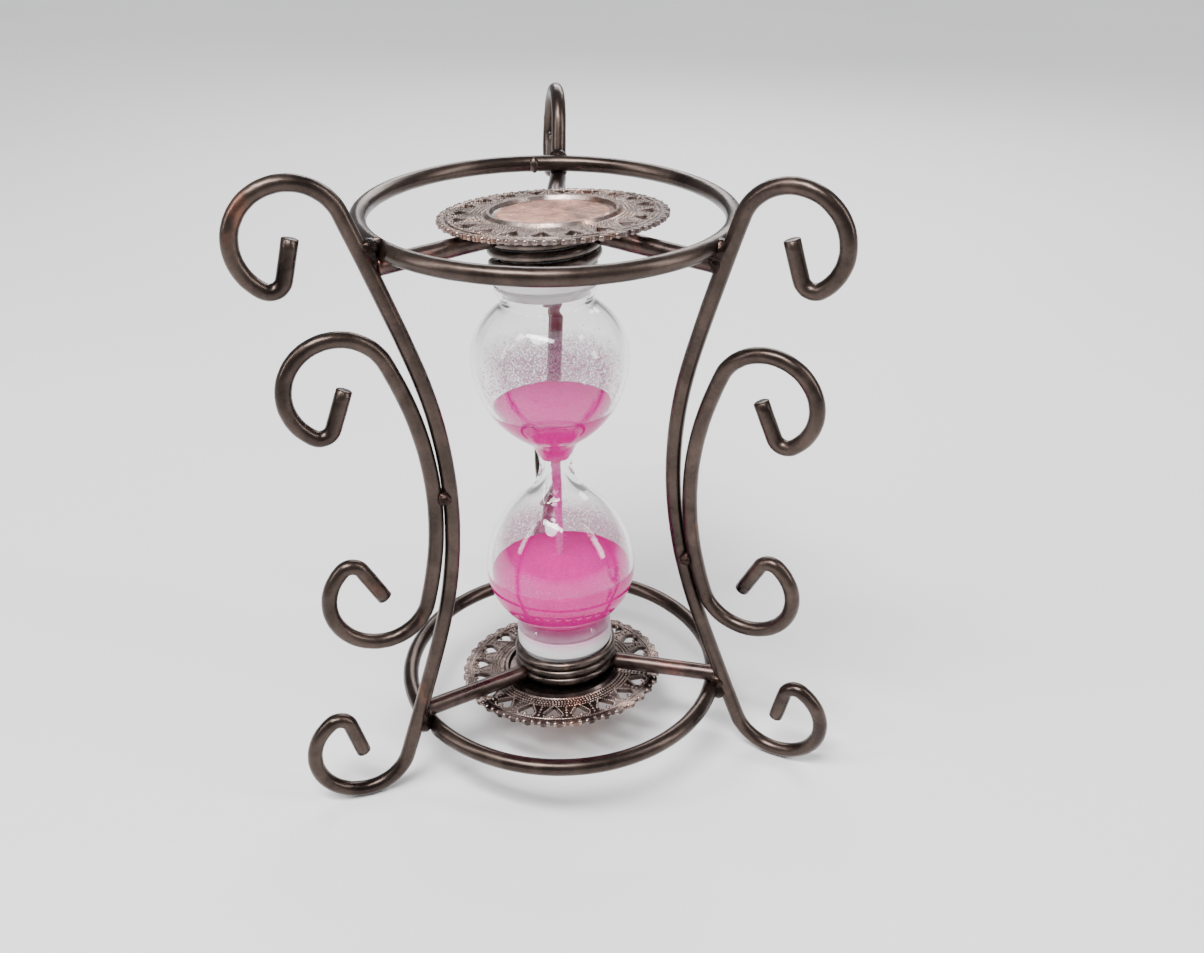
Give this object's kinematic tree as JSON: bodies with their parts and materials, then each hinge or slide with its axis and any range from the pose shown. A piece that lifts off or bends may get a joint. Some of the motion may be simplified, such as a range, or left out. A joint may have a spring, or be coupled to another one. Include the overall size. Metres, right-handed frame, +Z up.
{
  "type": "hourglass",
  "caption": "Small decorative sand timer: glass double bulb held by coil sockets and filigree discs in a welded scrollwork wire stand.",
  "frame": {"origin": "point of the surface that the three foot curls stand on, under the middle of the stand", "axes": "+Z up the stand; -Y is the open front between the left and right legs"},
  "size_m": [0.107, 0.1005, 0.1238],
  "materials": {
    "bronze_wire": "dark antique bronze patina, brushed streaks",
    "bronze_spoke": "dark antique bronze, satin",
    "coil_wire": "dark bronze, polished ridges",
    "filigree_metal": "antiqued silver and copper, satin",
    "vial_glass": "clear polished",
    "white_plastic": "satin",
    "pink_sand": "grainy",
    "weld_metal": "copper brown, rough"
  },
  "bodies": {
    "root": {"top_ring": "bronze_wire", "bottom_ring": "bronze_wire", "leg_rear": "bronze_wire", "leg_left": "bronze_wire", "leg_right": "bronze_wire", "scroll_rear": "bronze_wire", "scroll_left": "bronze_wire", "scroll_right": "bronze_wire", "top_spoke_rear": "bronze_spoke", "top_spoke_left": "bronze_spoke", "top_spoke_right": "bronze_spoke", "bottom_spoke_rear": "bronze_spoke", "bottom_spoke_left": "bronze_spoke", "bottom_spoke_right": "bronze_spoke", "top_coil": "coil_wire", "bottom_coil": "coil_wire", "top_filigree": "filigree_metal", "bottom_filigree": "filigree_metal", "glass_vial": "vial_glass", "top_stopper": "white_plastic", "bottom_stopper": "white_plastic", "sand_upper": "pink_sand", "sand_stream": "pink_sand", "sand_lower": "pink_sand", "joint_welds": "weld_metal", "scroll_tacks": "weld_metal"}
  },
  "joints": []
}
